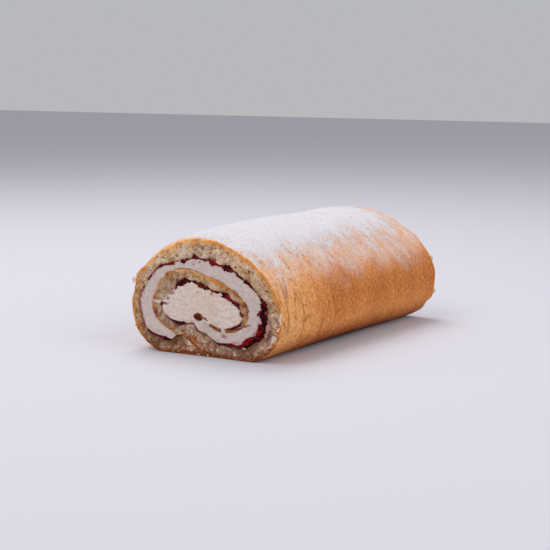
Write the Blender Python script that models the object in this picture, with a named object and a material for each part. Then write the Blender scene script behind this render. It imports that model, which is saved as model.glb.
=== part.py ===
"""A swiss roll cake with its ends cut clean: one sheet of sponge rolled round jam and cream.

The roll lies along Y on the plane Z = 0, with the better seen cut end facing -Y, and its box is
centred on X = 0 and Y = 0. The layers are drawn once, as the cut end shows them, and then run
the length of the roll. They are drawn in polar form about a pole near the middle of the cut:
a winding angle starts at 0 straight below the pole, where the outer edge of the sheet lies,
and grows by 90 degrees at the left, the top and the right, then goes on round for a second turn.
"""

import math

import bmesh
import bpy
import numpy as np

MM = 0.001

# Driving sizes of the roll.
LENGTH = 188 * MM
WIDTH = 103.5 * MM
HEIGHT = 72 * MM

# The outline of a section. Above its widest line it is half an ellipse whose top sits a little
# to the left. Below, it is a squarer curve that would reach under the table and is pressed flat.
WIDEST_AT = 29 * MM
TOP_SHIFT = -4.4 * MM
TOP_POWER = 1.82
FOOT_REACH = 33 * MM
FOOT_POWER = 2.6
OUTLINE_STEPS = 720
POLE = (-2 * MM, 28.5 * MM)

# The sheet, as rows of: winding angle in degrees, share of the outline's radius at which the
# crust lies, and thickness of the sponge along the radius.
SHEET = (
    (0, 1.00, 1.0 * MM),
    (18, 1.00, 7.9 * MM),
    (40, 1.00, 12.6 * MM),
    (62, 1.00, 9.5 * MM),
    (90, 1.00, 6.0 * MM),
    (135, 1.00, 8.6 * MM),
    (180, 1.00, 12.0 * MM),
    (225, 1.00, 11.3 * MM),
    (270, 1.00, 9.5 * MM),
    (300, 1.00, 10.5 * MM),
    (330, 1.00, 9.0 * MM),
    (352, 1.00, 13.5 * MM),
    (362, 0.93, 12.5 * MM),
    (376, 0.74, 9.5 * MM),
    (405, 0.60, 10.5 * MM),
    (425, 0.61, 8.0 * MM),
    (450, 0.69, 5.0 * MM),
    (495, 0.66, 7.0 * MM),
    (540, 0.51, 6.2 * MM),
    (585, 0.515, 6.0 * MM),
    (628, 0.60, 4.0 * MM),
    (655, 0.54, 4.5 * MM),
    (674, 0.43, 4.4 * MM),
    (692, 0.29, 2.2 * MM),
    (712, 0.24, 2.4 * MM),
    (742, 0.235, 4.2 * MM),
)
POINT_SPACING = 3.6 * MM
SMALLEST_TURN = 3.0

# The jam is a thin layer with one thick run at the lower right.
JAM_FROM = 44
JAM_TO = 684
JAM_FADE = 12
JAM_THICK = 1.0 * MM
JAM_RUN_AT = 298
JAM_RUN_WIDTH = 21
JAM_RUN_THICK = 4.0 * MM

CREAM_FROM = 46
GAP = 0.45 * MM
TIP_CLEARANCE = 6

# How the section changes along the roll: the knife leaves both ends a little lower than the
# middle, and the top leans sideways towards the far end.
NEAR_END_SINK = 0.055
FAR_END_SINK = 0.025
END_REACH = 22 * MM
LEAN = -2.6 * MM
STATIONS = (0.0, 0.07, 0.2, 0.5, 0.85, 1.0)

SPONGE_COLOUR = (0.62, 0.44, 0.24, 1.0)
JAM_COLOUR = (0.12, 0.006, 0.012, 1.0)
CREAM_COLOUR = (0.80, 0.74, 0.66, 1.0)


def clear_scene():
    for old in list(bpy.data.objects):
        bpy.data.objects.remove(old, do_unlink=True)


def material(name, colour, roughness):
    made = bpy.data.materials.new(name)
    made.use_nodes = True
    made.diffuse_color = colour
    shader = made.node_tree.nodes["Principled BSDF"]
    shader.inputs["Base Color"].default_value = colour
    shader.inputs["Roughness"].default_value = roughness
    shader.inputs["Metallic"].default_value = 0.0
    return made


def outline_points():
    """The closed outline of a section as points (x, z), from the rightmost point over the top."""
    t = np.linspace(0, 2 * math.pi, OUTLINE_STEPS, endpoint=False)
    c, s = np.cos(t), np.sin(t)
    power = np.where(s >= 0, TOP_POWER, FOOT_POWER)
    across = np.sign(c) * np.abs(c) ** (2 / power)
    rise = np.abs(s) ** (2 / power)
    x = WIDTH / 2 * across + TOP_SHIFT * np.maximum(s, 0) ** 2
    z = np.where(s >= 0, WIDEST_AT + (HEIGHT - WIDEST_AT) * rise, WIDEST_AT - FOOT_REACH * rise)
    return x, np.maximum(z, 0)


def outline_radius(angle):
    """How far the outline lies from the pole at each winding angle, in degrees."""
    x, z = outline_points()
    around = np.degrees(np.arctan2(POLE[0] - x, POLE[1] - z)) % 360
    radius = np.hypot(x - POLE[0], z - POLE[1])
    order = np.argsort(around)
    return np.interp(np.asarray(angle) % 360, around[order], radius[order], period=360)


def smooth(at, stations, values):
    """A smooth curve through the values: cubic between stations, with no overshoot."""
    stations, values = np.asarray(stations, float), np.asarray(values, float)
    width = np.diff(stations)
    rise = np.diff(values) / width
    slope = np.zeros(len(values))
    same_way = rise[:-1] * rise[1:] > 0
    mean = (width[1:] * rise[:-1] + width[:-1] * rise[1:]) / (width[1:] + width[:-1])
    limit = 3 * np.minimum(np.abs(rise[:-1]), np.abs(rise[1:]))
    slope[1:-1] = np.where(same_way, np.sign(mean) * np.minimum(np.abs(mean), limit), 0)
    i = np.clip(np.searchsorted(stations, at, side="right") - 1, 0, len(width) - 1)
    t = np.clip((at - stations[i]) / width[i], 0, 1)
    return (
        values[i] * (2 * t**3 - 3 * t**2 + 1)
        + values[i + 1] * (3 * t**2 - 2 * t**3)
        + slope[i] * width[i] * (t**3 - 2 * t**2 + t)
        + slope[i + 1] * width[i] * (t**3 - t**2)
    )


def crust_radius(angle):
    rows = np.array(SHEET)
    return outline_radius(angle) * smooth(angle, rows[:, 0], rows[:, 1])


def sponge_inner_radius(angle):
    rows = np.array(SHEET)
    return crust_radius(angle) - smooth(angle, rows[:, 0], rows[:, 2])


def jam_thickness(angle):
    run = np.exp(-(((angle - JAM_RUN_AT) / JAM_RUN_WIDTH) ** 2))
    return JAM_THICK + (JAM_RUN_THICK - JAM_THICK) * run


def jam_outer_radius(angle):
    return sponge_inner_radius(angle) - GAP


def jam_inner_radius(angle):
    return jam_outer_radius(angle) - jam_thickness(angle)


def cream_outer_radius(angle):
    """The cream lies on the jam, and past the end of the jam on the sponge."""
    jam_left = np.clip((JAM_TO + JAM_FADE - angle) / JAM_FADE + 0.5, 0, 1)
    return sponge_inner_radius(angle) - GAP - (jam_thickness(angle) + GAP) * jam_left


def in_plane(angle, radius):
    """Points (x, z) of a section at the winding angles and radii."""
    turned = np.radians(angle)
    x = POLE[0] - radius * np.sin(turned)
    z = POLE[1] - radius * np.cos(turned)
    return np.stack([x, z], axis=1)


def winding_angles(start, end):
    """Angles from start to end, closer together where the sheet runs far for its turn."""
    fine = np.linspace(start, end, 4 * int(end - start))
    path = in_plane(fine, crust_radius(fine))
    step = np.hypot(*np.diff(path, axis=0).T) / POINT_SPACING
    step = np.maximum(step, np.diff(fine) / (2 * SMALLEST_TURN))
    run = np.concatenate([[0], np.cumsum(step)])
    return np.interp(np.linspace(0, run[-1], int(run[-1]) + 2), run, fine)


def ribbon(outer, inner, start, end):
    """The closed outline of a layer between two radii, out along one side and back."""
    angle = winding_angles(start, end)
    return np.concatenate([in_plane(angle, outer(angle)), in_plane(angle, inner(angle))[::-1]])


def sponge_outline():
    return ribbon(crust_radius, sponge_inner_radius, SHEET[0][0], SHEET[-1][0])


def jam_outline():
    return ribbon(jam_outer_radius, jam_inner_radius, JAM_FROM, JAM_TO)


def cream_outline():
    """The cream fills what the sheet winds round: in along the jam, round the sheet's inner
    edge, and out again along the crust of the inner turn."""
    past_tip = SHEET[-1][0] + TIP_CLEARANCE
    inward = winding_angles(CREAM_FROM, past_tip)
    outward = winding_angles(CREAM_FROM + 360, past_tip)[::-1]
    along_jam = in_plane(inward, cream_outer_radius(inward))
    along_crust = in_plane(outward, crust_radius(outward) + GAP)
    return np.concatenate([along_jam, along_crust])


def section(outline, along):
    """The outline as it lies at a share of the roll's length, as points (x, y, z)."""
    y = along * LENGTH
    sink = NEAR_END_SINK * math.exp(-y / END_REACH)
    sink += FAR_END_SINK * math.exp(-(LENGTH - y) / END_REACH)
    x, z = outline.T
    z = np.maximum(z, 0)
    x = x + LEAN * along * (z / HEIGHT) ** 2
    return np.stack([x, np.full(len(x), y - LENGTH / 2), z * (1 - sink)], axis=1)


def run_through(name, outline, finish):
    """One solid whose outline runs the length of the roll, as an object of its own."""
    mesh = bmesh.new()
    rings = []
    for along in STATIONS:
        rings.append([mesh.verts.new(point) for point in section(outline, along)])
    mesh.faces.new(rings[0])
    mesh.faces.new(rings[-1][::-1])
    count = len(outline)
    for near, far in zip(rings, rings[1:]):
        for i in range(count):
            j = (i + 1) % count
            mesh.faces.new((near[i], far[i], far[j], near[j]))
    bmesh.ops.recalc_face_normals(mesh, faces=mesh.faces)
    data = bpy.data.meshes.new(name)
    mesh.to_mesh(data)
    mesh.free()
    data.materials.append(finish)
    made = bpy.data.objects.new(name, data)
    bpy.context.scene.collection.objects.link(made)
    return made


def centre_across(parts):
    """Puts the middle of the roll's box at X = 0."""
    across = [corner.co.x for part in parts for corner in part.data.vertices]
    shift = -(min(across) + max(across)) / 2
    for part in parts:
        for corner in part.data.vertices:
            corner.co.x += shift


def main():
    clear_scene()
    parts = [
        run_through("sponge", sponge_outline(), material("sponge", SPONGE_COLOUR, 0.9)),
        run_through("jam", jam_outline(), material("jam", JAM_COLOUR, 0.2)),
        run_through("cream", cream_outline(), material("cream", CREAM_COLOUR, 0.5)),
    ]
    centre_across(parts)


main()
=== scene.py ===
"""The looks of a cut swiss roll: sponge with a browned crust, berry jam, cream and icing sugar.

The layers follow the spiral law of the CAD solids. A place on the sheet is a winding angle in
degrees, which starts at 0 straight below the pole and grows through the left, the top and the
right, and a share of the way through the sheet, from 0 at the crust to 1 at the jam.
"""

import itertools
import math

import bmesh
import bpy
import numpy as np
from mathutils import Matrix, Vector, geometry


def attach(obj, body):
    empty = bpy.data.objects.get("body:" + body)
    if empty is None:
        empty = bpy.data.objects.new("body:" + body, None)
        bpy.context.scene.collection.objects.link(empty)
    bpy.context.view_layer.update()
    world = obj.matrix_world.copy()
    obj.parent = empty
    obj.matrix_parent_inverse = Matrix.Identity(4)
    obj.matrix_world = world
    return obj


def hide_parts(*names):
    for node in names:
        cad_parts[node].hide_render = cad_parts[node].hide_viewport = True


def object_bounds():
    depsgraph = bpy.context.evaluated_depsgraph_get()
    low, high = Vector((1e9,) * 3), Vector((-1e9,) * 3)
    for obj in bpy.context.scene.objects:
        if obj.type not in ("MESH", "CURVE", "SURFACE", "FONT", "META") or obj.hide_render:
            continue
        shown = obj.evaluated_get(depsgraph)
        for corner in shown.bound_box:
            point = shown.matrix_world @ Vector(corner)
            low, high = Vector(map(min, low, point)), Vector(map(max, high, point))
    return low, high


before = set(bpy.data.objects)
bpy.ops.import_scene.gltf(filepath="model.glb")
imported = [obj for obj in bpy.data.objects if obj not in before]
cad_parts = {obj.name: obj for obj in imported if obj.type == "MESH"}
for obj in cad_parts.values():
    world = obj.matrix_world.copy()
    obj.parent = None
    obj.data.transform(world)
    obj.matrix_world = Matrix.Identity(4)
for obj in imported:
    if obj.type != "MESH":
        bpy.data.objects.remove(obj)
CAD_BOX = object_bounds()

MM = 0.001
NEAR_Y = CAD_BOX[0].y
FAR_Y = CAD_BOX[1].y
LENGTH = FAR_Y - NEAR_Y

# The spiral law of the solids. The rows below follow it, with the small strays of the cut.
WIDTH = 103.5 * MM
HEIGHT = 72 * MM
WIDEST_AT = 29 * MM
TOP_SHIFT = -4.4 * MM
TOP_POWER = 1.82
FOOT_REACH = 33 * MM
FOOT_POWER = 2.6
OUTLINE_STEPS = 1440
POLE = (-2 * MM, 28.5 * MM)
NEAR_END_SINK = 0.055
FAR_END_SINK = 0.025
LEAN = -2.6 * MM

# How far in mm the sink of the ends and the rounding of the crust there reach along the roll.
END_REACH = 22
ROUNDING_REACH = 4

# The two ends of the roll. The far cut reads its noise elsewhere, so that the cuts differ.
NEAR, FAR = 0, 1
ABOVE_TABLE = 0.03 * MM

# Rows of: winding angle, share of the outline's radius at which the crust lies, and the sponge's
# thickness in mm.
SHEET = (
    (0, 1, 1), (18, 1, 7.9), (40, 1, 12), (56, 1, 9.9), (66, 1, 7.4), (78, 1, 6.3), (90, 1, 5.3),
    (107, 1, 6.6), (121, 1, 7.6), (134, 1, 9.2), (147, 1, 11.2), (158, 1, 12.1), (184, 1, 11.9),
    (200, 1, 11.2), (217, 1, 10.8), (234, 1, 11.6), (246, 1, 11), (258, 1, 9.7), (272, 1, 9.5),
    (300, 1, 10.6), (314, 1, 10.9), (330, 1, 10.1), (341, 1, 12.6), (352, 1, 13.8),
    (362, 0.95, 13), (376, 0.77, 10.4), (402, 0.6, 10.7), (412, 0.595, 10.2), (424, 0.61, 8.2),
    (436, 0.66, 7.4), (447, 0.7, 6.4), (454, 0.705, 6), (465, 0.69, 8.2), (480, 0.685, 9.2),
    (490, 0.69, 8.8), (502, 0.64, 7.1), (515, 0.59, 6.6), (532, 0.524, 6.3), (546, 0.496, 6.1),
    (560, 0.487, 6), (572, 0.495, 6.2), (587, 0.51, 5.4), (601, 0.535, 5.3), (614, 0.574, 5.6),
    (624, 0.588, 5), (634, 0.588, 3.4), (642, 0.565, 2.6), (653, 0.527, 3.1), (665, 0.469, 3.4),
    (676, 0.42, 2.7), (692, 0.275, 1.7), (712, 0.225, 1.8), (742, 0.245, 2.8),
)
SHEET_END = SHEET[-1][0]
JAM_FROM = 44
JAM_TO = 684
JAM_THICK = 1.0 * MM
JAM_RUN_AT = 298
JAM_RUN_WIDTH = 21
JAM_RUN_THICK = 4.0 * MM
CREAM_FROM = 46
TIP_CLEARANCE = 6
GAP = 0.45 * MM
SEAM_GAP = 0.15 * MM
SEAM_OPENS = (36, 48)

# Where the sugar is thickest, and where the sponge leaves the table and turns inwards, so that
# its crust is out of sight.
TOP = 181
CRUST_TO = 356

# The browned line along the crust as a cut shows it: winding angle, thickness in mm, and how dark
# it is, from 0 to 1.
BROWN_LINE = (
    (0, 3.2, 0.95), (14, 2.9, 0.95), (30, 2.8, 0.95), (50, 2.2, 0.85), (64, 1.6, 0.5),
    (72, 2.2, 0.45), (80, 1.4, 0.2), (88, 2.6, 0.45), (94, 1.4, 0.2), (100, 2.4, 0.4),
    (108, 1.4, 0.2), (118, 2.2, 0.1), (130, 3.2, 0), (150, 3.9, 0), (172, 3.6, 0), (186, 2.8, 0.1),
    (198, 2, 0.3), (206, 2.8, 0.1), (222, 1.8, 0.25), (236, 2.4, 0.25), (250, 1.6, 0.25),
    (262, 2.2, 0.35), (272, 1.2, 0.3), (280, 2.8, 0.5), (289, 3, 0.6), (298, 2.4, 0.75),
    (318, 3.2, 0.9), (335, 2.8, 0.85), (350, 3.2, 0.95), (360, 4, 0.85), (374, 4.2, 0.75),
    (386, 3.4, 0.75), (398, 1.8, 0.8), (408, 0.3, 0.4), (417, 4, 0.8), (424, 0.3, 0.3),
    (436, 0.6, 0.3), (445, 4, 0.9), (451, 0.3, 0.3), (458, 4.4, 0.75), (465, 0.3, 0.2),
    (474, 1.6, 0.4), (482, 0.3, 0.2), (489, 3.2, 0.65), (497, 0.5, 0.2), (508, 1.4, 0.2),
    (522, 0.5, 0.1), (540, 1.6, 0.25), (550, 0.8, 0.2), (566, 2.2, 0.4), (580, 1.8, 0.35),
    (592, 3, 0.6), (601, 1.6, 0.5), (607, 3.2, 0.75), (613, 1.4, 0.4), (619, 4, 0.85),
    (624, 1.4, 0.5), (629, 3.8, 0.85), (637, 1.1, 0.5), (648, 1.6, 0.5), (662, 1.6, 0.6),
    (672, 3.6, 0.95), (690, 4.6, 0.9), (712, 4.6, 0.9), (742, 4.4, 1),
)

# The jam as the cut shows it: winding angle, thickness in mm, and how far in mm it strays from
# the middle of its layer, towards the cream where positive.
JAM_LINE = (
    (42, 0.2, 0), (45, 0.8, -0.8), (48, 1.8, -1.2), (52, 1.8, -0.9), (56, 0.7, -0.7),
    (60, 0.9, -0.7), (65, 0.8, -1.1), (70, 0.5, -0.9), (75, 0.2, -0.3), (93, 0.1, 0),
    (97, 0.4, 0.2), (102, 0.2, 0), (112, 0.3, 0.3), (117, 0.6, 0.1), (121, 0.3, 0),
    (130, 0.6, -0.6), (136, 1, -0.1), (144, 1.1, 0.3), (148, 0.2, 0), (152, 0.3, 0.3),
    (157, 1, 0.3), (161, 0.9, 0.2), (165, 0.5, 0.1), (169, 0.8, -0.5), (172, 2.8, -0.9),
    (176, 0.7, -0.1), (180, 1, 0), (184, 0.8, 0.3), (188, 1.4, -0.2), (192, 2.7, -0.6),
    (197, 2.4, 0.3), (201, 1.1, 1), (205, 0.9, 0.9), (209, 2.2, 0.6), (213, 3.4, 0.2),
    (217, 2.2, 0.5), (221, 1.8, 0.7), (225, 1.7, 0.6), (229, 1.8, 0.4), (233, 1.7, -0.1),
    (237, 2.2, 0), (241, 1.4, -0.2), (246, 1.1, -0.3), (252, 1.7, 0.2), (256, 1.6, 0),
    (260, 2.6, 0.1), (264, 3.2, 0.9), (268, 3, 1.6), (272, 4.4, 0.8), (276, 3.4, 0.3),
    (281, 3.6, 0.8), (285, 4.8, 0.5), (292, 5.2, 0.5), (297, 4.8, 0.8), (303, 4.2, 0),
    (308, 2.2, -0.9), (312, 2.2, 0.4), (316, 2.2, -0.5), (320, 1, -0.6), (328, 0.6, -1.2),
    (333, 0.3, -1.4), (336, 0.7, -1.4), (340, 0.3, -1), (356, 0.2, -0.8), (376, 0.2, -1.2),
    (402, 0.3, -0.6), (410, 0.6, -0.9), (415, 2.2, -1.2), (419, 2.6, -0.9), (423, 1.8, -0.5),
    (428, 0.6, -0.6), (433, 0.5, -0.5), (438, 0.2, -0.2), (448, 0.2, -0.4), (452, 0.8, -0.2),
    (457, 0.2, 0.9), (472, 0.1, 0.8), (482, 0.5, 0.9), (488, 0.7, 0.7), (493, 2.4, 0.9),
    (498, 3.8, 1.1), (503, 2.9, 0.6), (508, 2.2, 0.3), (513, 1.3, 0.5), (518, 1.1, 0.3),
    (522, 1.7, 0.2), (528, 1.7, 0.1), (534, 1.5, 0.2), (542, 1.6, 0), (548, 1.8, -0.4),
    (557, 1.7, -0.2), (562, 1, -0.1), (567, 0.8, -0.1), (576, 0.6, 0.2), (583, 0.9, 0.2),
    (588, 1, 0), (592, 2.6, -0.1), (597, 2.9, -0.2), (602, 1.9, 0.5), (607, 1.8, 0.5),
    (612, 1.2, 0.5), (617, 2.2, 0.2), (622, 1, -0.2), (627, 0.4, 0), (632, 1.2, 0.1),
    (637, 0.2, -0.3), (642, 0.5, -0.3), (647, 1.5, -0.5), (652, 1.2, -0.3), (658, 0.8, -0.2),
    (664, 0.2, 0), (686, 0.2, 0),
)

# The crumb's tone as the cut shows it: winding angle, how bright and how strong in colour it is,
# both 1 for the plain crumb. Its brightness is painted light and shade: it is darker and browner
# low down and at the sides as painted shade, partly damper crumb there. It is greyer where moist.
CRUMB_TONE_AND_SHADE = (
    (0, 1.2, 0.85), (22, 1.35, 0.82), (32, 0.95, 0.95), (40, 0.71, 1), (52, 0.69, 1),
    (78, 0.98, 1.03), (90, 0.74, 1.2), (108, 0.78, 1.1), (122, 0.84, 1), (140, 1, 1),
    (159, 0.87, 0.92), (191, 0.9, 0.88), (216, 1, 1), (237, 0.81, 1.1), (258, 0.76, 1.15),
    (272, 1, 0.9), (293, 1.06, 0.89), (305, 0.76, 0.98), (318, 1.15, 0.75), (338, 1.14, 0.86),
    (357, 1.2, 0.88), (389, 1.15, 0.76), (415, 0.9, 0.85), (443, 0.71, 0.92), (467, 0.63, 0.94),
    (517, 0.77, 1.1), (587, 0.81, 1.06), (742, 0.8, 1),
)


# --- The spiral law ---


def angle_at(x, z):
    """The winding angle, in the first turn, of points of a section."""
    return np.degrees(np.arctan2(POLE[0] - x, POLE[1] - z)) % 360


def outline_points():
    """The closed outline of a section as points (x, z)."""
    t = np.linspace(0, 2 * math.pi, OUTLINE_STEPS, endpoint=False)
    c, s = np.cos(t), np.sin(t)
    power = np.where(s >= 0, TOP_POWER, FOOT_POWER)
    across = np.sign(c) * np.abs(c) ** (2 / power)
    rise = np.abs(s) ** (2 / power)
    x = WIDTH / 2 * across + TOP_SHIFT * np.maximum(s, 0) ** 2
    z = np.where(s >= 0, WIDEST_AT + (HEIGHT - WIDEST_AT) * rise, WIDEST_AT - FOOT_REACH * rise)
    return x, np.maximum(z, 0)


def outline_by_angle():
    """The outline again, as rising winding angles and the radii there."""
    x, z = outline_points()
    around = angle_at(x, z)
    order = np.argsort(around)
    return around[order], np.hypot(x - POLE[0], z - POLE[1])[order]


OUTLINE = outline_by_angle()


def smooth(at, stations, values):
    """A smooth curve through the values: cubic between stations, with no overshoot."""
    stations, values = np.asarray(stations, float), np.asarray(values, float)
    width = np.diff(stations)
    rise = np.diff(values) / width
    slope = np.zeros(len(values))
    same_way = rise[:-1] * rise[1:] > 0
    mean = (width[1:] * rise[:-1] + width[:-1] * rise[1:]) / (width[1:] + width[:-1])
    limit = 3 * np.minimum(np.abs(rise[:-1]), np.abs(rise[1:]))
    slope[1:-1] = np.where(same_way, np.sign(mean) * np.minimum(np.abs(mean), limit), 0)
    i = np.clip(np.searchsorted(stations, at, side="right") - 1, 0, len(width) - 1)
    t = np.clip((at - stations[i]) / width[i], 0, 1)
    return (
        values[i] * (2 * t**3 - 3 * t**2 + 1)
        + values[i + 1] * (3 * t**2 - 2 * t**3)
        + slope[i] * width[i] * (t**3 - 2 * t**2 + t)
        + slope[i + 1] * width[i] * (t**3 - t**2)
    )


def column(rows, index, scale=1):
    """One column of a table of rows, as a function of the winding angle."""
    rows = np.array(rows, float)
    return lambda angle: smooth(angle, rows[:, 0], rows[:, index]) * scale


crust_share = column(SHEET, 1)
sheet_thickness = column(SHEET, 2, MM)
brown_line = column(BROWN_LINE, 1)
brown_shade = column(BROWN_LINE, 2)
jam_line_thickness = column(JAM_LINE, 1)
jam_line_stray = column(JAM_LINE, 2, MM)
# The crumb's brightness by winding angle: painted light and shade, partly damper crumb.
crumb_light_shade_and_damp = column(CRUMB_TONE_AND_SHADE, 1)
crumb_strong = column(CRUMB_TONE_AND_SHADE, 2)


def crust_radius(angle):
    """How far the crust lies from the pole."""
    radius = np.interp(np.asarray(angle) % 360, *OUTLINE, period=360)
    return radius * crust_share(angle)


def step(value, low, high):
    """0 below low, 1 above high, smooth between."""
    t = np.clip((np.asarray(value, float) - low) / (high - low), 0, 1)
    return t * t * (3 - 2 * t)


def hump(value, middle, width):
    """1 at the middle, falling off on both sides within about the width."""
    return np.exp(-(((np.asarray(value, float) - middle) / width) ** 2))


def seam_radius(angle):
    """Where sponge and cream meet, in the middle of a thin jam layer. At the outer end of the
    sheet the sponge reaches the crust of the turn inside it."""
    layer = crust_radius(angle) - sheet_thickness(angle) - GAP - JAM_THICK / 2
    inside = crust_radius(angle + 360) + SEAM_GAP
    return layer + (inside - layer) * (1 - step(angle, *SEAM_OPENS))


def run_thickness(angle):
    """How much thicker than elsewhere the jam is, in the run at the lower right."""
    return (JAM_RUN_THICK - JAM_THICK) * hump(angle, JAM_RUN_AT, JAM_RUN_WIDTH)


def in_plane(angle, radius):
    """Points (x, z) of a section at the winding angles and radii."""
    turned = np.radians(angle)
    return np.stack([POLE[0] - radius * np.sin(turned), POLE[1] - radius * np.cos(turned)], axis=-1)


def centre_shift():
    """How far the CAD solids were moved along X to centre their box."""
    x, z = outline_points()
    lean = LEAN * (z / HEIGHT) ** 2
    return -(min(x.min(), (x + lean).min()) + max(x.max(), (x + lean).max())) / 2


SHIFT = centre_shift()


def off(end, height):
    """The y of what stands out by height from an end of the roll."""
    return FAR_Y + height if end == FAR else NEAR_Y - height


def fade(end, y, reach):
    """1 at an end of the roll, falling off along it within about reach mm."""
    inwards = FAR_Y - y if end == FAR else y - NEAR_Y
    return np.exp(-inwards / (reach * MM))


def place(flat, y):
    """Points (x, y, z) of the roll for points (x, z) of its section."""
    x, z = flat[..., 0], flat[..., 1]
    y = np.broadcast_to(y, x.shape)
    along = (y - NEAR_Y) / LENGTH
    sink = NEAR_END_SINK * fade(NEAR, y, END_REACH) + FAR_END_SINK * fade(FAR, y, END_REACH)
    return np.stack([x + LEAN * along * (z / HEIGHT) ** 2 + SHIFT, y, z * (1 - sink)], axis=-1)


def lengths(path):
    """The length of a path up to each of its points."""
    return np.concatenate([[0], np.cumsum(np.hypot(*np.diff(path, axis=0).T))])


def spiral(start, end, spacing):
    """Winding angles from start to end whose places on the crust lie about spacing apart."""
    fine = np.linspace(start, end, 8 * int(end - start))
    path = in_plane(fine, crust_radius(fine))
    run = lengths(path)
    count = int(round(run[-1] / spacing)) + 1
    return np.interp(np.linspace(0, run[-1], count), run, fine)


FINE_ANGLES = np.linspace(0, 2 * 360, 2881)
FINE_RUN = lengths(in_plane(FINE_ANGLES, crust_radius(FINE_ANGLES)))


def run_at(angle):
    """The length of crust, in metres, from the outer end of the sheet to a winding angle."""
    return np.interp(angle, FINE_ANGLES, FINE_RUN)


# --- Noise ---


def scatter(cells, seed):
    """A number from 0 to 1 for each whole-number cell, the same in each run."""
    n = cells.astype(np.int64) @ np.array([73856093, 19349663, 83492791]) + seed * 1274126177
    n = (n ^ (n >> 13)) * 1103515245
    n = (n ^ (n >> 15)) * 668265263
    n = n ^ (n >> 16)
    return (n & 0xFFFFFF) / 0xFFFFFF


def lumps(points, size, seed=0):
    """Smooth noise from -1 to 1 whose lumps are about size mm across, one size or one an axis."""
    p = points / (np.asarray(size) * MM)
    base = np.floor(p)
    t = p - base
    t = t * t * (3 - 2 * t)
    total = np.zeros(p.shape[:-1])
    for corner in itertools.product((0, 1), repeat=3):
        weight = np.prod(np.where(corner, t, 1 - t), axis=-1)
        total += weight * scatter(base + corner, seed)
    return 2 * total - 1


def rough(points, size, seed=0, octaves=3):
    """Noise from about -1 to 1, with finer and finer lumps."""
    size = np.asarray(size, float)
    return sum(lumps(points, size / 2.1**i, seed + i) * 0.6**i for i in range(octaves)) / 1.5


def pores(points, size, seed):
    """For scattered pores about size mm apart: the distance to the nearest as a share of size,
    and a number from 0 to 1 that is the pore's own."""
    p = points / (size * MM)
    base = np.floor(p)
    nearest = np.full(p.shape[:-1], 9.0)
    own = np.zeros(p.shape[:-1])
    for corner in itertools.product((-1, 0, 1), repeat=3):
        cell = base + corner
        centre = np.stack([scatter(cell, seed + k) for k in range(3)], axis=-1) + cell
        distance = np.linalg.norm(p - centre, axis=-1)
        closer = distance < nearest
        nearest = np.where(closer, distance, nearest)
        own = np.where(closer, scatter(cell, seed + 7), own)
    return nearest, own


def flat3(flat, depth=0.0):
    """Points (x, z) of a section as points in space, for the noise."""
    return np.stack([flat[..., 0], np.full(flat.shape[:-1], depth), flat[..., 1]], axis=-1)


# --- The crust outside ---

# A small bulge of the crust at the left of the near cut.
BULGE_AT = angle_at(-47 * MM, 47 * MM)
CREASE_DEPTH = 0.4 * MM
CREASE_WIDTH = 0.95


def crust_normal(angle):
    """The way out of the crust, square to it, as (x, z)."""
    ahead, behind = (in_plane(a, crust_radius(a)) for a in (angle + 0.3, angle - 0.3))
    along = ahead - behind
    along = along / np.maximum(np.linalg.norm(along, axis=-1, keepdims=True), 1e-9)
    return np.stack([-along[..., 1], along[..., 0]], axis=-1)


def crust_texture(angle, y):
    """Noise coordinates on the crust: along the sheet, along the roll."""
    angle, y = np.broadcast_arrays(angle, y)
    return np.stack([run_at(angle), y, np.zeros(angle.shape)], axis=-1)


# The longer creases near the cut, where the sheet was bent. Each row: the winding angle and the
# distance from the near cut in mm where one starts, the same where it ends, and how deep it is.
LONG_CREASES = (
    (243, 14.8, 264, 8.6, 1), (226, 8, 240, 4.2, 0.7), (244, 5.2, 267, 1, 0.8),
    (253, 20, 265, 15.6, 0.9), (243, 27, 256, 22.4, 0.8), (262, 22.6, 279, 26, 0.6),
    (208, 13, 222, 10, 0.7), (268, 8, 286, 9.6, 0.7), (240, 36, 250, 33, 0.6),
)


def long_creases(angle, y):
    """How deep, from 0 to 1, the longer creases near the cut are."""
    sway = lumps(crust_texture(angle, y), (7, 5, 1), 15)
    depth = np.zeros(sway.shape)
    for start, near_start, stop, near_stop, deep in LONG_CREASES:
        share = (angle - start) / (stop - start)
        ends = step(share, 0, 0.25) * (1 - step(share, 0.75, 1))
        away = (y - NEAR_Y) / MM - near_start - (near_stop - near_start) * share + 0.7 * sway
        depth = np.maximum(depth, deep * ends * np.clip(1 - np.abs(away) / CREASE_WIDTH, 0, 1))
    return depth


def creases(angle, y):
    """How deep, from 0 to 1, the creases round the roll are. They are deepest near the cut."""
    p = crust_texture(angle, y)
    sway = np.array([0, 1.4 * MM, 0]) * lumps(p, (13, 7, 1), 5)[..., None]
    line = 1 - np.abs(lumps(p + sway, (19, 3.4, 1), 11)) / 0.26
    fine = 1 - np.abs(lumps(p + sway, (8, 1.9, 1), 12)) / 0.26
    line = line * step(lumps(p, (17, 11, 1), 13), -0.25, 0.55)
    fine = fine * step(lumps(p, (9, 8, 1), 14), -0.1, 0.6)
    short = np.clip(np.maximum(line, 0.7 * fine), 0, 1) * (0.35 + 0.65 * fade(NEAR, y, 38))
    return np.maximum(short, long_creases(angle, y))


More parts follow.
